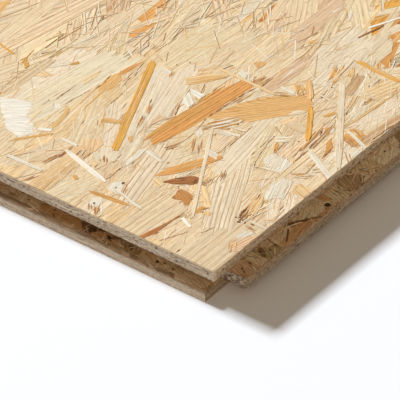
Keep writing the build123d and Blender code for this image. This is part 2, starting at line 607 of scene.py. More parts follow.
class LaidByHand:
    """Lays single strands on a layer, each a little higher than the one before. Rises are in millimetres."""

    sliver_step = 0.003
    tone_spread = 0.02
    tint_spread = 0.008
    side_raggedness = 0.16
    longest_edge = 3.5
    deepest_tooth = 1.6
    split_length = 6.0
    speck_spacing = 4.5
    speck_width = 0.42
    patch_width = 3.0
    spot_corners = 6
    spot_flatness = 0.7

    def __init__(self, layer, chance, rise, rise_step):
        self.layer = layer
        self.chance = chance
        self.rise = rise
        self.rise_step = rise_step

    def finish(self, outline, middle, heading, width, shade, stripes, spacing, heart):
        """Gives a strand its own tone, figure and rim, and lays it."""
        tone = np.array(shade) * (1 + self.chance.normal(0, self.tone_spread))
        tone = tone * (1 + self.chance.normal(0, self.tint_spread, 3))
        figure = (stripes, spacing, self.chance.uniform(*figure_seeds))
        rim_tint = rim_stain_and_shade ** self.chance.uniform(*rim_strengths)
        proud = self.rise * mm
        self.layer.lay(outline, middle, heading, foot_sink, proud, tone, figure, heart,
                       min(rim_reach, rim_share_of_width * width * mm), rim_tint)
        self.rise += self.rise_step

    def strand(self, shade, start, end, width, stripes=0.35, spacing=2.0, tips="torn"):
        """A slice from one point to another, its grain along it, with stripes of a strength and spacing."""
        start = corner_of_face + np.array(start) * mm
        end = corner_of_face + np.array(end) * mm
        way = end - start
        length = float(np.hypot(*way))
        heading = math.atan2(way[1], way[0])
        narrow = self.chance.uniform(*tip_shapes[tips], 2)
        slants = self.chance.normal(0, 0.45 if width > 3 else 0.9, 2)
        side_points = 3 if length < 12 * mm else 4 if width < 1.5 else 8
        end_points = 1 if width < 2.0 else round(width / tooth_width)
        tooth = min(0.25 * length, (1.0 + 0.45 * width) * mm)
        shape = (length, width * mm, slants, narrow, self.side_raggedness, side_points, end_points, tooth)
        outline = torn_outline(*shape, self.chance)
        middle = (start + end) / 2
        side = self.chance.choice([-1, 1]) * self.chance.uniform(0.7, 1.6) * width
        heart = (self.chance.uniform(-0.4, 0.4) * length / mm, side, self.chance.uniform(0.01, 0.03))
        self.finish(turned(outline, middle, heading), middle, heading, width, shade, stripes, spacing, heart)

    def strands(self, *rows):
        """Several slices, each given as for one."""
        for row in rows:
            self.strand(*row)

    def patch(self, shade, outline, heading, stripes=0.35, spacing=2.0, heart=(0.0, 30.0, 0.02)):
        """A slice of the outline given, its grain along the heading in degrees, torn across the grain."""
        outline = np.array(outline, dtype=float)
        grain_way = np.array([math.cos(math.radians(heading)), math.sin(math.radians(heading))])
        ragged = []
        for start, end in zip(outline, np.roll(outline, -1, axis=0)):
            way = end - start
            across = abs(way[0] * grain_way[1] - way[1] * grain_way[0])
            pieces = max(1, round(float(np.hypot(*way)) / self.longest_edge), round(across / tooth_width))
            reach = min(self.deepest_tooth, 0.3 * across)
            for piece in range(pieces):
                jolt = grain_way * self.chance.uniform(-0.5, 0.5) * reach + self.chance.normal(0, 0.10, 2)
                ragged.append(start + way * piece / pieces + jolt)
        outline = corner_of_face + np.array(ragged) * mm
        ahead = np.roll(outline, -1, axis=0)
        area = (outline[:, 0] * ahead[:, 1] - outline[:, 1] * ahead[:, 0]).sum()
        if area < 0:
            outline = outline[::-1]
        middle = outline.mean(axis=0)
        self.finish(outline, middle, math.radians(heading), self.patch_width, shade, stripes, spacing, heart)

    def patches(self, *rows):
        """Several slices of given outlines, each given as for one."""
        for row in rows:
            self.patch(*row)

    def slivers(self, pieces):
        """Thin pointed pieces over one another, none of which lifts the strands laid after them."""
        rise_before = self.rise
        for shade, start, end, width in pieces:
            self.strand(shade, start, end, width, stripes=0.1, tips="pointed")
            self.rise += self.sliver_step - self.rise_step
        self.rise = rise_before + self.rise_step

    def sheaf(self, shades, start, end, width, count, thick=(0.35, 0.8)):
        """Slivers torn off side by side along a line, within a width."""
        start, end = np.array(start, dtype=float), np.array(end, dtype=float)
        way = end - start
        side = np.array([-way[1], way[0]]) / np.hypot(*way)
        pieces = []
        for _ in range(count):
            aside = side * width * self.chance.uniform(-0.5, 0.5)
            lean = side * width * self.chance.normal(0, 0.06)
            first = start + way * self.chance.uniform(0.0, 0.45) + aside
            last = start + way * self.chance.uniform(0.55, 1.0) + aside + lean
            shade = shades[self.chance.integers(len(shades))]
            pieces.append((shade, first, last, self.chance.uniform(*thick)))
        self.slivers(pieces)

    def crack(self, shade, *points, width=0.36):
        """A split along the grain: thin slivers end to end, with dark specks of painted shade here and there.
        """
        pieces = []
        for start, end in zip(points[:-1], points[1:]):
            start, end = np.array(start, dtype=float), np.array(end, dtype=float)
            way = end - start
            length = float(np.hypot(*way))
            parts = max(1, round(length / self.split_length))
            for part in range(parts):
                share = np.array([part - 0.1, part + 1.0]) + self.chance.uniform(-0.2, 0.2, 2)
                share = np.clip(share / parts, 0, 1)
                shake = self.chance.normal(0, 0.12, (2, 2))
                first, last = start + way * share[0] + shake[0], start + way * share[1] + shake[1]
                pieces.append((shade, first, last, width * self.chance.uniform(0.7, 1.3)))
            for _ in range(self.chance.poisson(length / self.speck_spacing)):
                speck = start + way * self.chance.uniform(0, 1) + self.chance.normal(0, 0.10, 2)
                reach = way / length * self.chance.uniform(0.3, 0.9)
                pieces.append((knot_and_gap_shade, speck - reach, speck + reach, self.speck_width))
        self.slivers(pieces)

    def spots(self, shade, *places, width=1.0):
        """Small knots, and holes as flat dark spots of painted shade."""
        for x, y in places:
            turns = np.linspace(0, 2 * math.pi, self.spot_corners + 1)[:-1] + self.chance.uniform(0, 1)
            reach = width * self.chance.uniform(0.4, 0.8, self.spot_corners)
            aside = self.spot_flatness * reach * np.sin(turns)
            outline = np.stack([x + reach * np.cos(turns), y + aside], axis=1)
            self.patch(shade, outline, 0, 0.0)


corner = LaidByHand(corner_layer, np.random.default_rng(21), first_rise, usual_step)

# Wide strands of the bed, from the near corner along both edges. Each row is a strand's wood, start, end,
# width, and the strength and spacing of its stripes.
corner.strands(
    (cream, (-10, 60), (40, 62), 16, 0.25),
    (green_cream, (30, 56), (72, 66), 18, 0.25),
    (cream, (-10, 25), (42, 25), 13, 0.3, 3.2),
    (honey, (-6, 36), (14, 34), 11, 0.2),
    (cream, (26, 30), (62, 48), 16, 0.25),
    (honey, (36, 40), (66, 52), 10, 0.3),
    (cream, (56, 6), (104, 4), 15, 0.25),
    (pale, (90, 6), (140, 14), 18, 0.2),
    (cream, (118, 20), (190, 18), 12, 0.3),
    (cream, (125, 10), (195, 10), 11, 0.3),
    (cream, (110, 33), (160, 38), 16, 0.3),
    (green_cream, (150, 40), (205, 45), 14, 0.25),
    (pale, (140, 54), (200, 58), 22, 0.2),
    (cream, (100, 62), (160, 60), 14, 0.25),
    (oat, (-8, 11), (46, 10), 22, 0.4, 3.6),
)
corner.patch(cream, [(2, 39.5), (10, 27), (31, 26.5), (23, 41)], -5, 0.15)
corner.strands(
    (cream, (-10, 53), (37, 49.5), 22, 0.6, 3.4),
    (pale, (44, -3), (84, 17), 13, 0.25),
    (cream, (42, 21.5), (86, 27), 10, 0.5, 1.9),
    (pale, (25, 18), (84, 48), 17, 0.85, 2.3),
    (cream, (58, 15), (126, 17), 9, 0.25),
    (pale, (60, 44), (118, 52), 12, 0.4, 2.6),
    (cream, (78, 33), (113, 45), 11, 0.35),
    (cream, (88, 27), (125, 28), 12, 0.45, 1.8),
    (dun, (120, 5.4), (158, 1), 5, 0.45, 1.4),
    (pale, (136, 20), (176, 35), 11, 0.5, 2.1),
    (honey, (156, 25), (188, 14), 11, 0.75, 2.3),
    (pale, (130, 12), (168, 9.4), 8, 0.2),
)

# Wide strands further along the grooved end
corner.strands(
    (cream, (-8, 84), (40, 82), 14, 0.25),
    (cream, (14, 84), (62, 89), 13, 0.25),
    (pale, (-6, 76), (15, 76), 11, 0.5, 2.0),
    (honey, (1, 66), (21, 65), 12, 0.5, 2.2),
    (cream, (-10, 118), (50, 119), 14, 0.25),
    (cream, (28, 100), (62, 108), 17, 0.3),
    (green_cream, (-8, 98), (31, 89), 13, 0.3),
    (honey, (-10, 107.5), (32, 109), 11, 0.4),
    (honey, (-12, 127), (40, 128), 13, 0.3),
    (cream, (-8, 140), (50, 143), 16, 0.3),
    (green_cream, (0, 156), (60, 160), 20, 0.3),
    (pale, (46, 162), (104, 158), 16, 0.15),
    (pale, (14, 66), (66, 79), 12, 0.9, 3.0),
)

# Wide strands in the middle
corner.strands(
    (cream, (66, 72), (120, 66), 20, 0.25),
    (cream, (108, 108), (165, 98), 20, 0.25),
    (cream, (100, 122), (165, 116), 20, 0.25),
    (cream, (68, 120), (118, 125), 22, 0.25),
    (pale, (38, 93), (60, 100), 18, 0.2),
    (cream, (44, 138), (102, 139), 9, 0.25),
    (pale, (40, 97), (78, 120), 8, 0.25),
    (honey, (36, 127), (118, 131), 15, 0.35, 3.0),
    (cream, (38, 113), (76, 129), 12, 0.4, 2.4),
    (cream, (6, 131), (40, 119), 10, 0.2, 2.6),
    (fawn, (-8, 107.6), (42, 109), 9.5, 0.25, 2.6),
    (pale, (40, 151), (112, 141), 21, 0.2),
    (oat, (50, 169), (88, 168), 6, 0.8, 2.4),
    (honey, (102, 113), (135, 90), 12, 0.5, 2.4),
    (pale, (72, 96), (122, 110), 15, 0.25),
    (pale, (58, 97), (114, 119), 9, 0.25),
    (cream, (95, 94), (136, 92), 10, 0.35),
    (cream, (136, 77), (172, 75), 10, 0.3),
    (cream, (135, 88), (175, 90), 14, 0.25),
    (pink_tan, (130, 68), (167, 66), 8, 0.3),
    (pale, (113, 68), (132, 73), 7, 0.2),
)

# Fine slivers strewn along the grain between the wide strands
fine_sliver = ((4, 20), (0.3, 0.9), 0.40, 2, 1)
sliver_shades = [
    (0.14, white), (0.27, pale), (0.26, cream), (0.17, honey), (0.07, tan), (0.05, dun), (0.04, split),
]
field_right = face_left + hand_laid_reach[0]
field_back = face_front + hand_laid_reach[1]
field_depth = 0.01
bare_strands = [
    ((-8, 11), (46, 10), 27), ((25, 18), (84, 48), 15), ((60, 44), (118, 52), 11),
    ((-10, 53), (37, 49.5), 20), ((14, 66), (66, 79), 10), ((72, 96), (122, 110), 13),
    ((40, 151), (112, 141), 19),
]


def over_bare_strand(x, y, reach):
    """Whether a sliver of any reach lies mostly over a wide strand that shows bare from end to end."""
    place = np.array([x, y]) - corner_of_face
    for start, end, width in bare_strands:
        start, way = np.array(start) * mm, (np.array(end) - np.array(start)) * mm
        length = np.hypot(*way)
        along = (place - start) @ way / length
        across = abs((place - start) @ np.array([-way[1], way[0]])) / length
        if 0 < along < length and across < 0.5 * width * mm:
            return True
    return False


sliver_field = StrandLayer(face_left, field_right, face_front, field_back, face_top)
field_heights = (corner.rise, corner.rise + field_depth)
scatter(sliver_field, 1150, [(1.0, fine_sliver)], sliver_shades, headings=(6, 28), heights=field_heights,
        seed=22, keep_clear=over_bare_strand)
sliver_field.join("corner_splinters", strand_finish)
corner.rise += field_depth

# The two large strands that catch the eye, tan with an arched figure and brown with streaks
corner.patch(
    tan,
    [(95, 79), (103, 75), (113, 72), (125, 66), (136, 54), (141, 47), (136, 42), (131, 40), (120, 47),
     (110, 55), (105, 58), (104, 65), (97, 72)],
    -38, 0.65, 1.5, (8.0, 9.0, 0.30),
)
corner.sheaf([ochre, sand], (98, 76), (137, 45), 9, 4)
corner.patch(
    orange_brown,
    [(62, 84.4), (64, 88), (72, 89.6), (85, 88.8), (100, 86.9), (115, 86.2), (130, 82.4), (131, 78),
     (130, 73.6), (120, 75), (110, 76.6), (95, 76.9), (82, 78.6), (75, 80.2), (66, 83)],
    -7, 0.95, 2.0, (-20.0, 26.0, 0.06),
)
corner.patch(
    ochre,
    [(59.6, 89.8), (66, 91.4), (80, 90.8), (96, 88.6), (110, 88.2), (122, 86), (110, 86.4), (85, 88.4),
     (70, 88.8)],
    -6, 0.8, 1.5,
)
corner.sheaf([ochre, russet, ochre], (63, 86.6), (131, 77.4), 9, 16, (0.3, 0.7))
corner.crack(brown, (96, 76.8), (118, 74.8), (129.6, 72.6), width=1.4)
corner.crack(knot_and_gap_shade, (129.6, 75.6), (133.6, 77.8), width=1.4)

# Strands and torn bits from the near corner along the tongued side
rise_of_bits = corner.rise
corner.patch(
    pink_tan,
    [(17, 3), (20.5, 5.6), (22, 8), (27.5, 8.2), (26.5, 5.8), (30, 4.4), (35, 0), (20, 0)],
    -14, 0.9, 1.4,
)
corner.sheaf([split, sand, tan], (17, 2.2), (25, 7.6), 4, 9)
corner.crack(brown, (16.8, 3.2), (19.4, 3.5), width=0.7)
corner.patch(ivory, [(27, 8.4), (35, 7.4), (35.6, 2), (30, 4.4), (27, 5.8)], -10, 0.05)
corner.sheaf(brown_bits, (36, 0), (37.4, 10), 3, 5)
corner.sheaf(brown_bits, (45, 5), (48.5, 0), 3, 4)
corner.sheaf([tan, sand, fawn, cream], (43, 12.4), (66, 19.6), 5, 16, stout)
corner.spots(knot_and_gap_shade, (38.2, 13.6), (39.6, 14.6), (41.4, 15.4), (43.2, 16.6), (45.4, 16.4), width=1.35)
corner.spots(dark, (37.8, 14.4), (40.4, 13.4), (47.2, 16.8), width=1.2)
corner.sheaf([brown, knot_and_gap_shade, split], (38, 14), (50, 16.8), 3.4, 9)
corner.spots(knot_and_gap_shade, (40.2, 17.4), (39.2, 11.2), (40.1, 8.2), (43.2, 11.4), width=0.9)
corner.crack(knot_and_gap_shade, (40.2, 6.4), (40.1, 9), width=0.9)
corner.crack(brown, (46, 17.4), (58, 18.4), (64, 19.4))
corner.patch(ivory, [(60, 14), (63, 18.4), (70, 20), (79, 19.6), (80, 12.4), (72, 11.4), (66, 8)], 20, 0.08)
corner.sheaf([ivory, pale], (59, 10), (80.6, 18.4), 9, 12, stout)
corner.patch(fawn, [(71.5, 0), (72.5, 8.6), (76, 9.4), (80, 8), (80.5, 0)], 70, 0.35, 1.4)
corner.strand(cream, (60, 19), (122, 18.5), 2.0, 0.2)
corner.crack(brown, (58, 4), (62, 4.6), width=0.6)
corner.crack(split, (75, 7.6), (78.5, 8.6))
corner.patch(ivory, [(80.6, 20.6), (91, 20.8), (92.6, 33), (86, 35), (82, 32)], 0, 0.08)
corner.sheaf([ivory, pale, white], (79.6, 24), (93.4, 30), 11, 12, stout)
corner.strand(pale, (79.4, 31), (81.8, 21), 2.2, 0.1)
corner.sheaf([tan, ochre, ivory, pale], (82.4, 17.6), (90, 6.6), 6, 12)
corner.sheaf([tan, ivory, pale, dun], (91, 12), (96.6, 4.2), 4, 8)
corner.crack(brown, (88.4, 11.2), (98, 12.6))
corner.patch(
    orange_brown,
    [(103, 12.2), (108, 13), (113.4, 13.4), (116.8, 16.8), (119.6, 18.4), (114, 18), (109, 14.4)],
    17, 0.5, 1.3,
)
corner.crack(brown, (103, 12.2), (112, 12.8))
corner.patch(
    ochre,
    [(120.4, 6), (122, 10), (122.4, 14), (125, 14.8), (131.6, 14.4), (132, 8.4), (128, 5.4)],
    65, 0.5, 1.2,
)
corner.sheaf([brown, ochre, russet, split], (121.4, 4.6), (124.8, 14.6), 5, 10, stout)
corner.sheaf([ochre, honey, split, tan], (128, 6), (132, 14.8), 6, 11, stout)
corner.spots(knot_and_gap_shade, (121.6, 9.6), (122.6, 12.4), (121, 6.8), width=0.9)
corner.patch(ivory, [(112.6, 0), (113.6, 3.4), (118.6, 3), (120.4, 0)], 5, 0.05)
corner.crack(brown, (111, 0.8), (114.6, 4.6))
corner.crack(split, (131, 1.6), (146, 0.8))

# Strands and torn bits in the middle of the tongued side
corner.rise = rise_of_bits
corner.sheaf(torn_bits, (82, 31.5), (106, 34.2), 3, 8)
corner.patch(orange_brown, [(93, 34.2), (97, 36.8), (101, 37.8), (99, 35.4), (95, 33.6)], 18, 0.5, 1.2)
corner.strand(ivory, (100, 39), (104.4, 33.6), 2.0, 0.1)
corner.strand(ivory, (103, 40.4), (107, 34.4), 1.6, 0.1)
corner.crack(split, (77.6, 34.6), (78.6, 29), (80.4, 24))
corner.crack(brown, (77.8, 34.8), (81, 36.2), (88, 38.4), (96, 40.6), (104, 41.4))
corner.crack(brown, (83.6, 41.2), (88.4, 41.7))
corner.crack(brown, (92, 41.6), (100, 42.6))
corner.crack(knot_and_gap_shade, (93.6, 34.4), (96, 34.8))
corner.crack(knot_and_gap_shade, (97, 33.6), (99.2, 34.2))
corner.patch(oat, [(113, 31.8), (113.4, 41.6), (116, 42.4), (119.6, 42), (119, 32.6)], 88, 0.6, 1.5)
corner.patch(
    orange_brown,
    [(116.6, 21.4), (121, 24.2), (124.6, 25.6), (127.4, 22), (123, 20.6)],
    25, 0.5, 1.3,
)
corner.strand(ivory, (122, 20.8), (127, 22.6), 1.8, 0.1)
corner.crack(brown, (95, 24.2), (106, 25.4), width=0.7)
corner.crack(brown, (93, 21.6), (104, 21.4), width=0.8)
corner.crack(knot_and_gap_shade, (106, 22), (115, 23.2), width=0.7)
corner.crack(knot_and_gap_shade, (117.4, 24), (121.6, 25.6), width=0.6)
corner.spots(knot_and_gap_shade, (107, 29.4))
corner.patch(ochre, [(131, 32.4), (136.4, 30.4), (138.2, 27.6), (134.4, 28.6), (131, 31)], -35, 0.4, 1.4)
corner.patch(pale, [(121, 46.4), (126, 41.8), (129.6, 40.4), (127, 46)], -40, 0.05)
corner.sheaf([tan, ochre, tan, ochre], (138.6, 50.6), (146.4, 57.4), 5, 13, stout)
corner.strand(ivory, (137, 53.8), (138, 63), 2.6, 0.1)
corner.sheaf([tan, split, brown], (131, 63), (135.4, 54.6), 3, 7)
corner.sheaf(torn_bits, (139, 24.4), (156, 29), 3, 8)
corner.crack(split, (139.4, 24.2), (146, 26.8))
corner.spots(knot_and_gap_shade, (139.6, 24), (153, 43), (143.4, 41.8), width=0.9)
corner.crack(brown, (142, 42), (150, 43.2))
corner.strand(dun, (152.6, 33.6), (170, 37.4), 5, 0.6, 1.4)
corner.sheaf([dun, split, tan, brown], (154, 34), (169, 37), 4, 8)
corner.spots(brown, (160.6, 33.4), (166, 35.6))
corner.sheaf([tan, brown, split], (150, 21.6), (158.4, 22), 1.6, 5)
corner.crack(brown, (149, 22), (154, 22.4), (158.4, 21.4))
corner.strand(sand, (128, 18.6), (171, 14.4), 1.3, 0.3, 2.0, "pointed")
corner.crack(knot_and_gap_shade, (163.6, 28.4), (166, 29))
corner.crack(brown, (166, 27.6), (173.4, 27.8))
corner.crack(split, (170.6, 31.6), (173.6, 36.4))
corner.sheaf([ochre, honey, sand, sand], (154, 45.2), (171.6, 50.8), 4.4, 14, (0.6, 1.6))
corner.sheaf([sand, honey, honey], (162, 39.6), (174, 46.4), 4.2, 10, (0.6, 1.5))

# Strands and torn bits on the grooved end, from the near corner on
corner.rise = rise_of_bits
corner.patch(
    cinnamon,
    [(0, 45.2), (0, 42.6), (7, 40.2), (14, 40.6), (21, 39.8), (28, 39.2), (20, 40.9), (13, 42.2), (6, 44)],
    -9, 0.5, 1.2,
)
corner.crack(brown, (6, 40.4), (21, 39.6), (27, 39.2))
corner.crack(knot_and_gap_shade, (1.2, 23.4), (4.4, 23.6), width=0.6)
corner.crack(dun, (20, 23.4), (28, 20.6), width=0.3)
corner.patch(
    ochre,
    [(30, 35.6), (33, 36.4), (37.4, 35.8), (37.8, 32.2), (35.2, 34.2), (32.6, 33.4)],
    -20, 0.4, 1.3,
)
corner.patch(sand, [(31.6, 31.4), (35.4, 32), (36, 29), (33, 27.8)], 40, 0.3)
corner.spots(knot_and_gap_shade, (33.6, 32.6), width=0.9)
corner.crack(brown, (35, 33.6), (38.4, 31.6))
corner.sheaf(torn_bits, (18, 37.6), (30, 36.6), 2.4, 5)
corner.strand(honey, (38, 32), (50, 45), 3.2, 0.3)
corner.patch(
    russet,
    [(33, 51), (37, 51.2), (41.4, 52.4), (42, 47), (41, 44), (37.4, 42), (32.4, 42.4), (35.2, 46.6)],
    62, 0.4, 1.4,
)
corner.sheaf([russet, ochre, cinnamon], (36, 43), (39.6, 51.6), 5, 7)
corner.crack(brown, (33, 51.2), (37, 51.4), (41.4, 52.6))
corner.crack(brown, (41.2, 53), (43.6, 54.6), (46, 52))
corner.patch(
    orange_brown,
    [(42, 68.6), (50, 67.6), (60, 63), (70, 57.4), (75, 53.4), (74, 50.6), (66, 53.4), (56, 58), (48, 63)],
    -28, 0.6, 1.6,
)
corner.sheaf([russet, honey, ochre], (45, 67), (72, 53.6), 5, 9)
corner.sheaf(torn_bits, (52, 57), (66, 53.4), 4, 8)
corner.sheaf(brown_bits, (46, 46.6), (58, 43.6), 4, 8)
corner.crack(brown, (47, 44.6), (51, 46.8))
corner.crack(brown, (50, 43.4), (57, 45.4))
corner.patch(ivory, [(70.6, 52.6), (71.4, 58.4), (76, 60.6), (75, 53.6)], 80, 0.1)
corner.strand(cream, (75, 58), (92, 59), 6, 0.5, 1.3)
corner.patch(honey, [(36.6, 61), (38, 66), (41.4, 68.4), (43.2, 65), (40, 60.6)], 75, 0.1)
corner.patch(ivory, [(79.6, 70), (82.6, 74.4), (87.6, 75), (84, 70.6)], 45, 0.1)
corner.sheaf([white, ochre, brown, split, ivory], (86, 73.6), (105, 61.6), 7, 20, stout)
corner.spots(russet, (86.8, 65.4), width=1.3)
corner.patch(russet, [(91.6, 67.4), (93, 67.2), (95.4, 62.6), (94, 62.2)], -60, 0.3)
corner.crack(brown, (97.6, 65.6), (101, 62.4), (105.6, 60.6))
corner.spots(knot_and_gap_shade, (98, 65), (100, 61.4), (102, 63.6), width=0.9)
corner.crack(split, (84, 54.2), (104, 55))
corner.crack(brown, (70, 74.4), (82, 74.2), (94, 76.8))
corner.sheaf(brown_bits, (63, 78.4), (72, 74), 4, 8)
corner.crack(knot_and_gap_shade, (63, 78), (66, 77.2), (70, 76))
corner.crack(knot_and_gap_shade, (64.6, 74.4), (66, 76.8))
corner.strand(ochre, (13.6, 86.6), (16.4, 63.4), 2.4, 0.4, 1.4, "pointed")
corner.patch(ivory, [(19, 74), (21, 80.5), (26, 81.5), (29.6, 79), (27.5, 75), (22.5, 72.5)], 20, 0.08)
corner.patch(ivory, [(5, 74.5), (6, 80.5), (10.5, 81.4), (11, 76)], 70, 0.1)
corner.spots(dark, (7.4, 78.4), (23.5, 77.7), (28.2, 77.2), width=1.7)
corner.sheaf([brown, split], (2, 77), (6.4, 80.4), 1.6, 4)
corner.patch(pink_tan, [(26, 86), (27, 89.6), (31.6, 90), (31, 86)], 30, 0.3)
corner.crack(brown, (24, 86), (28, 85), (38.6, 85.6))
corner.patch(ivory, [(40, 84.4), (44, 86.4), (55, 87), (57.4, 84.6), (48, 83.6)], 8, 0.08)
corner.strand(ivory, (53.6, 72.6), (56.4, 84), 2.8, 0.08)
corner.crack(knot_and_gap_shade, (42.6, 83.2), (46, 83.4))
corner.crack(split, (38.6, 91.2), (42, 91))
corner.crack(split, (43, 91.6), (47, 92.2))
corner.spots(split, (54.6, 70), width=1.1)
corner.patch(ochre, [(16.6, 97.4), (17.4, 99.8), (19.6, 100.4), (19.4, 97.8), (18, 96.4)], 0, 0.4, 1.2)
corner.patch(honey, [(30.4, 96), (30.6, 99.6), (34.4, 99), (33, 96)], 80, 0.3)
corner.sheaf([brown, pink_tan, cream], (35, 94), (40.6, 98.4), 4, 6)
corner.patch(fawn, [(37.6, 104), (39, 112), (44, 114), (51, 108.6), (47, 103.6)], 28, 0.3)
corner.crack(knot_and_gap_shade, (32, 109.2), (37, 109.8))
corner.crack(knot_and_gap_shade, (32, 106.8), (38.4, 107.8))
corner.sheaf([tan, brown], (32, 104.4), (38.4, 104), 1.6, 4)
corner.strand(tan, (62.6, 117), (67, 108), 3.8, 0.5, 1.5)
corner.strand(tan, (57, 94.4), (60.6, 98), 2.4, 0.4)
corner.crack(brown, (67.6, 99.4), (72, 100.6), (77.6, 102.6))
corner.sheaf(brown_bits, (68, 99.2), (78, 102.8), 1.8, 5)
corner.sheaf([ochre, orange_brown, split], (80, 102), (88, 105.8), 1.8, 6)
corner.crack(knot_and_gap_shade, (87.4, 106.6), (91.4, 108), width=0.6)
corner.crack(brown, (76.6, 115), (81, 115.8))
corner.patch(pink_tan, [(73, 95.4), (77.6, 97.4), (83.6, 96.6), (83, 92.2), (79, 93.6)], -5, 0.6, 1.2)
corner.patch(
    white,
    [(96.6, 89.6), (97.4, 94.4), (104, 97.2), (108, 97.6), (103.6, 92.4), (101, 89.2)],
    50, 0.08,
)
corner.patch(white, [(105.6, 88.8), (106.4, 95), (109.6, 98), (109.8, 88.8)], 85, 0.08)
corner.crack(split, (88, 91), (97, 94.8), (109, 97.8))
corner.crack(brown, (104, 89), (105.6, 92.6))
corner.sheaf(brown_bits, (110, 91.4), (117, 94.4), 1.4, 5)
corner.crack(knot_and_gap_shade, (110, 91.6), (116.6, 94.4))
corner.patch(
    fawn,
    [(110.6, 101.6), (116, 105.6), (122, 100), (129.4, 92.6), (130.2, 88.8), (124, 91.6), (117, 96)],
    -42, 0.5, 1.8,
)
corner.sheaf([tan, ochre, cream], (112, 102.6), (129, 90.4), 4, 8)
corner.patch(ivory, [(111, 112.6), (112.6, 118.4), (116, 119), (115, 113.4)], 78, 0.1)
corner.sheaf([orange_brown, tan], (111.4, 112.4), (116, 113.4), 1.6, 4)
corner.spots(brown, (121.4, 115.4), (126.6, 111.4), width=0.9)
corner.crack(brown, (132.6, 95.2), (138, 92.8))
corner.patch(ivory, [(132.6, 81), (133.4, 86.2), (138, 87.4), (137, 82.4)], 60, 0.1)
corner.patch(tan, [(143, 81), (145.4, 86.4), (150, 83), (149, 80.6)], 20, 0.5, 1.6)
corner.crack(brown, (132.6, 71), (142, 70.8))

# Strands and torn bits furthest along the grooved end
corner.rise = rise_of_bits
corner.sheaf([brown, split], (-1, 117), (9, 113.6), 1.8, 7)
corner.sheaf([brown, ochre], (26, 114.6), (38, 115.2), 1.6, 6)
corner.sheaf([knot_and_gap_shade, brown, ochre], (15.6, 118.6), (31.6, 115), 1.8, 8, (0.4, 0.8))
corner.crack(brown, (18.6, 118), (25, 118.4))
corner.patch(
    white,
    [(26.5, 141), (29.5, 151.5), (33, 155), (40, 162), (47, 169), (50.5, 162), (53, 152.5), (44, 149),
     (42, 147), (39.5, 142), (34, 137), (30, 138.5)],
    -50, 0.06,
)
corner.strand(sand, (35, 143.6), (54, 146), 0.6, 0.1, 2.0, "pointed")
corner.crack(split, (52, 148.4), (60, 147.6))
corner.strand(ochre, (22, 142.4), (39, 129.6), 1.5, 0.4, 1.4, "pointed")
corner.crack(brown, (20, 142.6), (26, 140.4))
corner.crack(brown, (13, 135.2), (21, 132.6), (27, 131))
corner.spots(brown, (27.4, 137.4), (60.4, 137.6), width=0.8)
corner.patch(
    sand,
    [(41, 131.6), (44, 134.4), (50, 134), (58, 136.4), (62, 138.4), (60, 134.6), (54, 132.4), (47, 131.6)],
    8, 0.5, 1.5,
)
corner.crack(brown, (54, 132.8), (59, 134.4), width=0.7)
corner.strand(white, (37.6, 138), (41.4, 131.4), 2.8, 0.06)
corner.strand(white, (56.4, 139.6), (59.8, 142.6), 3.0, 0.06)
corner.crack(brown, (57, 143), (59.4, 144.6))
corner.crack(knot_and_gap_shade, (53.6, 122.6), (58, 123.8))
corner.crack(brown, (75.6, 121.6), (88, 122.4))
corner.patch(tan, [(79, 131), (82, 135), (92, 136.6), (99, 134), (95, 129.6), (86, 128.6)], 5, 0.4, 1.6)
corner.patch(
    orange_brown,
    [(96, 133.4), (100, 134.6), (107, 133), (114.4, 130.4), (106, 130.6), (99, 131.6)],
    -6, 0.6, 1.2,
)
corner.crack(knot_and_gap_shade, (81, 135.2), (86, 134.6), (95, 136.4), width=0.8)
corner.strand(ivory, (99, 126.6), (109, 128.2), 0.9, 0.1)
corner.crack(knot_and_gap_shade, (91, 126), (96, 127), (105, 127.4))
corner.crack(brown, (95, 127.8), (104, 129))
corner.crack(knot_and_gap_shade, (101, 126.4), (107, 128.6), (113, 129.8))
corner.crack(split, (62, 139.4), (75, 137.2), (80, 136.8))
corner.crack(split, (63, 145.4), (78, 145))
corner.patch(honey, [(80, 142), (84, 144.6), (95, 142.8), (90, 141)], -5, 0.3)
corner.patch(honey, [(71, 165.6), (77.6, 166), (77.6, 159.4), (73.4, 161)], 80, 0.3)
corner.strand(ivory, (82, 165), (90, 158.6), 2.6, 0.1)
corner.patch(ochre, [(89.6, 158.6), (94, 156.6), (92.6, 154.8), (89.4, 156.6)], -30, 0.4)
corner.patch(ochre, [(73, 173.4), (76, 176.6), (78.6, 176), (76.4, 173.6)], 30, 0.4)

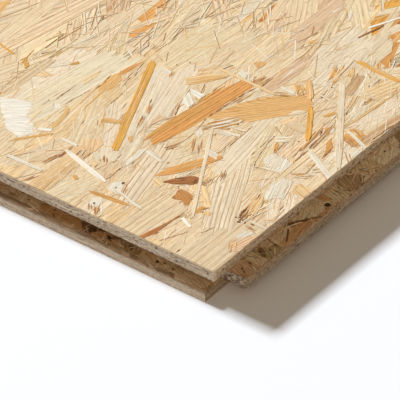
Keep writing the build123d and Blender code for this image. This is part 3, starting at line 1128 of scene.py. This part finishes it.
# Long thin strands that lie on top of the rest
corner.rise = rise_of_bits + above_bits
corner.rise_step = long_strand_step
corner.patch(
    bark,
    [(40.6, 62.4), (42.8, 62), (46.8, 59.4), (51, 56.2), (54, 52.8), (54.4, 49.8), (51, 48.2), (48, 49.8),
     (45.6, 53.6), (42.6, 57.6)],
    -46, 0.4, 1.3,
)
corner.sheaf([cinnamon, brown, bark, knot_and_gap_shade], (42.2, 61.2), (53, 50.2), 4.2, 9)
corner.sheaf([dark], (48.4, 50.8), (53.6, 49.6), 1.8, 5)
corner.spots(dark, (41.4, 61.4), width=0.8)
corner.strands(
    (pale, (27, 34), (91.5, 70.2), 1.8, 0.1),
    (white, (20.6, 30), (24.2, 37.6), 2.0, 0.05, 2.0, "sliced"),
    (white, (41.5, -1), (41.7, 10), 1.2, 0.1),
    (ivory, (92.5, -1), (103.5, 20), 3.2, 0.12),
    (pale, (101, 1), (159, 41), 3.4, 0.25),
    (ivory, (122.3, -1), (128.6, 15.4), 1.9, 0.1),
    (amber, (110.4, 26.4), (133.4, 41.2), 2.8, 0.25, 1.5),
    (amber, (47.4, 97), (116, 126.4), 4.0, 0.2, 1.5),
    (sand, (138.4, 45.4), (151, 55.6), 3.0, 0.5, 1.4),
    (amber, (177, 19), (178.4, 46), 2.8, 0.35, 1.2),
    (pale, (157, 45.6), (178, 47.8), 1.4, 0.1),
    (pale, (142.6, 25), (144.4, 44), 1.2, 0.1),
    (ivory, (157.2, 20.4), (159.8, 25.6), 1.3, 0.1),
    (ivory, (90.6, 66), (93.4, 54.6), 1.7, 0.1),
    (ivory, (88.6, 65.6), (91, 58), 1.4, 0.1),
    (pale, (96.4, 62), (97.8, 55), 1.6, 0.1),
    (honey, (131.6, 98), (131.2, 62), 2.0, 0.2),
    (ivory, (17.6, 57.6), (22.2, 76.6), 1.7, 0.1),
    (white, (24, 84.4), (32.8, 116), 2.8, 0.1),
    (ivory, (12.6, 115), (12.1, 136.6), 2.3, 0.1),
    (ivory, (38.7, 113), (38.9, 123.6), 1.7, 0.1),
)
corner.sheaf([ochre, sand], (112, 27.6), (132.5, 40.3), 2.0, 5)
corner.sheaf([honey, ochre, sand], (49, 98), (114, 125.2), 2.6, 5)
corner.sheaf([honey, ochre], (177.2, 20), (178.2, 45), 1.8, 6)
corner.crack(knot_and_gap_shade, (110.6, 25.8), (114.4, 27), width=0.7)

# Brown bits in the gaps between the strands
corner.chance = np.random.default_rng(23)
corner.rise = rise_of_bits + among_bits
corner.rise_step = usual_step
corner.sheaf(brown_bits, (100, 22), (129, 26), 7, 12)
corner.sheaf(brown_bits, (-1, 71), (8, 77), 5, 9)
corner.sheaf([tan, split, honey], (19, 71), (30, 75), 4, 9)
corner.sheaf(brown_bits, (68, 64), (80, 71), 6, 9)
corner.sheaf(brown_bits, (58, 41), (68, 44), 4, 7)
corner.sheaf([tan, brown, dun], (130, 74.5), (141, 73), 5, 12, stout)
corner.sheaf([brown, tan, split], (110, 73.4), (129, 70.6), 3, 5)
corner.sheaf([tan, sand, sand], (62, 131), (90, 134), 5, 6)
corner_layer.join("corner_strands", strand_finish)


# The milled flats: the tops of the tongues and the floors of the grooves. The mill cuts level through the
# core, whose coarser strands lie in all directions, so the flats show short brown pieces of strand with
# hollows between, drawn as flat dark pieces in a painted shade. They are thin slices on the imported solid,
# as on the upper face.

groove_depth = 11.3 * mm
heel_setback = 3.3 * mm
tongue_level = 11.9 * mm
groove_level = 5.0 * mm
tongue_ease = 0.4 * mm
lip_ease = 0.5 * mm
flat_rise = 0.06
flat_step = 0.001
core_tan = pigment(226, 199, 158)
core_pale = pigment(242, 223, 188)
rust = pigment(211, 163, 112)
khaki = pigment(226, 205, 166)
olive = pigment(180, 154, 112)
umber = pigment(134, 100, 64)
# A painted shade for the hollows and splits between the core's strands
hollow_shade = pigment(80, 56, 34)
core_shades = [
    (0.26, core_tan), (0.10, core_pale), (0.22, rust), (0.20, khaki), (0.13, olive), (0.09, umber),
]
core_piece = ((12, 42), (4, 13), 0.30, 3, 1)
core_splinter = ((5, 20), (0.8, 3), 0.35, 3, 1)
core_sliver = ((4, 16), (0.3, 1.1), 0.40, 2, 1)
core_kinds = [(0.45, core_piece), (0.25, core_splinter), (0.30, core_sliver)]
core_finish = wood_finish("milled_core", 0.75, 0.9, 0.58)
tongue_right = board_high.x - tongue_ease
tongue_front = board_low.y + tongue_ease
lip_left = board_low.x + lip_ease
lip_back = board_high.y - lip_ease
end_wall = face_left + groove_depth
side_wall = face_back - groove_depth
heel_right = face_right - heel_setback
heel_front = face_front + heel_setback


def milled_flat(left, right, front, back, level, count, seed):
    """A flat strewn with pieces of the core that mostly lie across the edge."""
    flat = StrandLayer(left, right, front, back, level)
    scatter(flat, count, core_kinds, core_shades, headings=(80, 45), heights=(0.01, 0.05), seed=seed)
    return flat


tongue_side = milled_flat(end_wall, tongue_right, tongue_front, face_front, tongue_level, 900, 31)
tongue_end = milled_flat(face_right, tongue_right, face_front, side_wall, tongue_level, 240, 32)
groove_end = milled_flat(lip_left, end_wall, heel_front, lip_back, groove_level, 260, 33)
groove_side = milled_flat(end_wall, heel_right, side_wall, lip_back, groove_level, 900, 34)

# The edges of the lower lips stand out further than the upper ones, and their strands are laid in dark
# colours, a painted shade where the upper lips keep the light off
painted_lip_shade = [(0.4, pigment(146, 115, 78)), (0.25, pigment(174, 142, 103)), (0.35, pigment(120, 91, 59))]
lip_kinds = [(1.0, ((10, 30), (1.5, 3.5), 0.30, 3, 1))]
lip_heights = (0.07, 0.12)
under_lip = 0.4 * mm
lip_end = StrandLayer(lip_left, face_left + under_lip, heel_front, lip_back, groove_level)
scatter(lip_end, 420, lip_kinds, painted_lip_shade, headings=(80, 25), heights=lip_heights, seed=37)
lip_end.join("lip_end_edge", core_finish)
lip_side = StrandLayer(face_left, heel_right, face_back - under_lip, lip_back, groove_level)
scatter(lip_side, 1000, lip_kinds, painted_lip_shade, headings=(0, 25), heights=lip_heights, seed=38)
lip_side.join("lip_side_edge", core_finish)

# The tongue beside the near corner. Places are along the board and out from the face, in millimetres.
tongue_hand = LaidByHand(tongue_side, np.random.default_rng(35), flat_rise, flat_step)
tongue_hand.patches(
    (dun, [(11, 0), (24, 0), (24, -11), (11, -11)], 70, 0.3),
    (khaki, [(23.5, 0), (29.5, 0), (30, -11), (23, -11)], 88, 0.3),
    (olive, [(29, 0), (42, 0), (41, -11), (29.5, -11)], 60, 0.4),
    (core_tan, [(35, 0), (58, 0), (56, -5), (44, -7), (36, -4)], 20, 0.4),
    (rust, [(40, -11), (44, -6.5), (60, -5), (72, -7.5), (84, -11)], 5, 0.35),
    (khaki, [(60, 0), (80, 0), (79, -6), (76, -9), (70, -8), (64, -4)], 25, 0.3),
    (rust, [(82, 0), (88, 0), (87, -6), (84, -8)], 85, 0.4),
    (khaki, [(87, 0), (98, 0), (97, -11), (86, -11)], 75, 0.6, 2.0),
    (olive, [(97, 0), (108, 0), (112, -8), (104, -11), (96, -11)], 60, 0.4),
    (core_tan, [(110, 0), (126, 0), (124, -11), (113, -11)], 50, 0.5),
    (core_pale, [(125, 0), (146, 0), (140, -11), (123, -11)], 30, 0.3),
    (umber, [(29.6, -7.6), (31, -4), (33.4, -0.8), (35.2, -1.8), (33.8, -5.4), (31.2, -8)], 60),
)
tongue_hand.sheaf([hollow_shade, umber], (30.4, -7.6), (34, -1.2), 2.6, 7)
tongue_hand.strands(
    (core_pale, (106.4, 0), (122.6, -9.2), 2.4),
    (umber, (57, -0.5), (66, -6.2), 1.4),
    (umber, (66, -6), (73, -11), 1.0),
)
tongue_hand.patch(hollow_shade, [(79.6, -6.4), (81, -5), (83, -6.6), (82.6, -8.6), (80.4, -8.8)], 40)
tongue_hand.crack(hollow_shade, (17, -2.8), (15.6, -5.6), (14.4, -7.6), width=0.9)
tongue_hand.crack(hollow_shade, (22.4, -3.2), (21.4, -6.4), width=0.9)
tongue_hand.crack(hollow_shade, (51, -0.9), (58, -1.2), width=0.8)
tongue_hand.crack(hollow_shade, (54.8, -1.2), (61.5, -3.4), (67.5, -8), width=0.8)
tongue_hand.crack(umber, (90.6, -3.6), (90, -7), width=0.9)
tongue_hand.crack(umber, (96.6, -1.4), (95, -5), (96.2, -8.6), width=0.9)
tongue_hand.crack(umber, (93, -2), (92.4, -8), width=0.8)
tongue_hand.crack(hollow_shade, (106, -8.8), (111, -7.4), width=0.8)
tongue_hand.crack(umber, (114, -3), (118, -6), width=0.9)
tongue_hand.crack(umber, (138, -10), (142, -6.4), (147, -4), width=0.9)
tongue_hand.spots(hollow_shade, (36.2, -6.2), (41, -6), (109.2, -0.8), (118, -9.6), (133, -4), width=1.4)

# The floor of the end groove, behind the upper lip. Places are as for the tongue.
groove_hand = LaidByHand(groove_end, np.random.default_rng(36), flat_rise, flat_step)
groove_hand.patches(
    (khaki, [(-3, 6), (9, 6), (9, 34), (-3, 34)], 70, 0.4),
    (olive, [(-1, 3.3), (5, 3.3), (4, 6.6), (-1, 6.4)], 20, 0.4),
    (core_tan, [(-3, 32), (9, 38), (9, 50), (-3, 52)], 80, 0.4),
    (olive, [(-3, 48), (9, 46), (9, 58), (-3, 60)], 40, 0.5),
    (rust, [(-3, 58), (2, 57), (6, 74), (-3, 78)], 80, 0.4),
    (rust, [(-3, 76), (6, 86), (8, 96), (8, 111), (-3, 113)], 85, 0.2),
    (khaki, [(-3, 110), (9, 108), (9, 130), (-3, 130)], 70, 0.4),
    (olive, [(-0.6, 121), (4, 122), (3.4, 127.6), (-0.8, 126.6)], 60),
    (core_tan, [(1, 107.6), (4.6, 109), (5, 115), (2, 116)], 80),
)
groove_hand.strand(core_pale, (2, 30), (6.6, 39.4), 2.0)
groove_hand.patches(
    (hollow_shade, [(1.6, 35.6), (3.8, 35.8), (4.2, 37.2), (2.0, 37.4)], 40),
    (hollow_shade, [(2, 63.8), (4, 65), (6, 68.8), (4.2, 69), (2.4, 66.4)], 60),
    (umber, [(2, 51.4), (5.6, 51.6), (5.4, 55.2), (2.6, 54.6)], 60),
)
groove_hand.crack(umber, (-2, 8), (2, 10), width=0.8)
groove_hand.crack(umber, (-1, 75), (2, 80), (6, 86.4), width=0.5)
groove_hand.crack(umber, (-2, 90.6), (-0.6, 91.8), width=0.8)
groove_hand.crack(umber, (3, 122.4), (6, 123), width=0.8)
groove_hand.spots(hollow_shade, (3, 27), (4, 33), (4.2, 59.6), (3.8, 116.4), (5, 101), width=1.2)

# Fine slivers over the tongue and the groove floor beside the near corner
sliver_kinds = [(1.0, core_sliver)]
sliver_tones = [(0.30, core_pale), (0.32, khaki), (0.26, rust), (0.12, umber)]
sliver_headings = (60, 50)
sliver_heights = (0.08, 0.12)
out_on_lip = 1.2 * mm
near_tongue = StrandLayer(end_wall, field_right, tongue_front, face_front, tongue_level)
scatter(near_tongue, 100, sliver_kinds, sliver_tones, sliver_headings, sliver_heights, seed=39)
near_tongue.join("tongue_side_slivers", core_finish)
near_groove = StrandLayer(face_left - out_on_lip, end_wall, heel_front, field_back, groove_level)
scatter(near_groove, 120, sliver_kinds, sliver_tones, sliver_headings, sliver_heights, seed=40)
near_groove.join("groove_end_slivers", core_finish)
tongue_side.join("tongue_side_top", core_finish)
tongue_end.join("tongue_end_top", core_finish)
groove_end.join("groove_end_floor", core_finish)
groove_side.join("groove_side_floor", core_finish)


# The strands of the underside: the same slices as on the upper face, pressed against the floor of the press.
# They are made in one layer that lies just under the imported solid's lower face.

underside = StrandLayer(board_low.x, heel_right, heel_front, board_high.y, 0.0, up=-1)
underside_kinds = [(0.45, wide_strand), (0.35, middle_strand), (0.20, narrow_strand)]
scatter(underside, 4200, underside_kinds, common_shades, headings=(0, 21), heights=(0.02, 0.12), seed=41)
underside.join("underside_strands", strand_finish)


# The floor and the studio: a plain white floor under the panel, a broad low key light from the far side and a
# warm fill all round, and the camera far off with a long lens, at the angle of the photograph.

scene = bpy.context.scene
half_floor = 150.0
floor_drop = -0.16 * mm
floor_white = (0.89, 0.89, 0.89, 1.0)
floor_mesh = bpy.data.meshes.new("studio_floor")
floor_corners = [(-half_floor, -half_floor), (half_floor, -half_floor), (half_floor, half_floor),
                 (-half_floor, half_floor)]
floor_mesh.from_pydata([(x, y, floor_drop) for x, y in floor_corners], [], [(0, 1, 2, 3)])
floor = bpy.data.objects.new("studio_floor", floor_mesh)
scene.collection.objects.link(floor)
floor_finish, ground = new_finish("white_floor")
floor_sockets = {"Base Color": floor_white, "Roughness": 0.9, "Specular IOR Level": 0.0}
floor_shader = ground.node("ShaderNodeBsdfPrincipled", {}, floor_sockets)
ground.node("ShaderNodeOutputMaterial", {"target": "ALL"}, {"Surface": floor_shader}, output=None)
floor_mesh.materials.append(floor_finish)


def place_in_studio(name, thing, location, backward):
    """Puts a light or the camera in the scene, looking against a direction."""
    placed = bpy.data.objects.new(name, thing)
    placed.location = location
    placed.rotation_euler = backward.to_track_quat("Z", "Y").to_euler()
    scene.collection.objects.link(placed)
    return placed


key_distance = 20.0
key_spread_across = math.radians(13.0)
key_spread_up = math.radians(4.6)
key_direction = Vector((0.050, 0.905, 0.427)).normalized()
key = bpy.data.lights.new("key_light", "AREA")
key.shape = "RECTANGLE"
key.size = 2 * key_distance * math.tan(key_spread_across / 2)
key.size_y = 2 * key_distance * math.tan(key_spread_up / 2)
key.energy = 8750.0
key.color = (0.84, 0.91, 1.0)
key_place = Vector((face_left, face_front, 0)) + key_distance * key_direction
place_in_studio("key_light", key, key_place, key_direction)

front_direction = Vector((-0.75, -0.50, 0.43)).normalized()
front = bpy.data.lights.new("front_fill", "SUN")
front.energy = 0.85
front.color = (1.0, 0.83, 0.65)
front.angle = math.radians(50.0)
place_in_studio("front_fill", front, (0, 0, 0), front_direction)

warm_fill = (0.200, 0.168, 0.133, 1.0)
studio = bpy.data.worlds.new("studio_fill")
studio.use_nodes = True
background = studio.node_tree.nodes["Background"]
background.inputs["Color"].default_value = warm_fill
background.inputs["Strength"].default_value = 1.0
scene.world = studio
scene.view_settings.view_transform = "Standard"

azimuth = math.radians(-52.695)
elevation = math.radians(37.521)
camera_place = (-3.0428, -1.6881, 1.7843)
level_part = math.cos(elevation)
backward = Vector((math.sin(azimuth) * level_part, -math.cos(azimuth) * level_part, math.sin(elevation)))
camera = bpy.data.cameras.new("photo_camera")
camera.lens = 540.0
camera.sensor_width = 36.0
camera.clip_end = 1000.0
scene.camera = place_in_studio("photo_camera", camera, camera_place, backward)
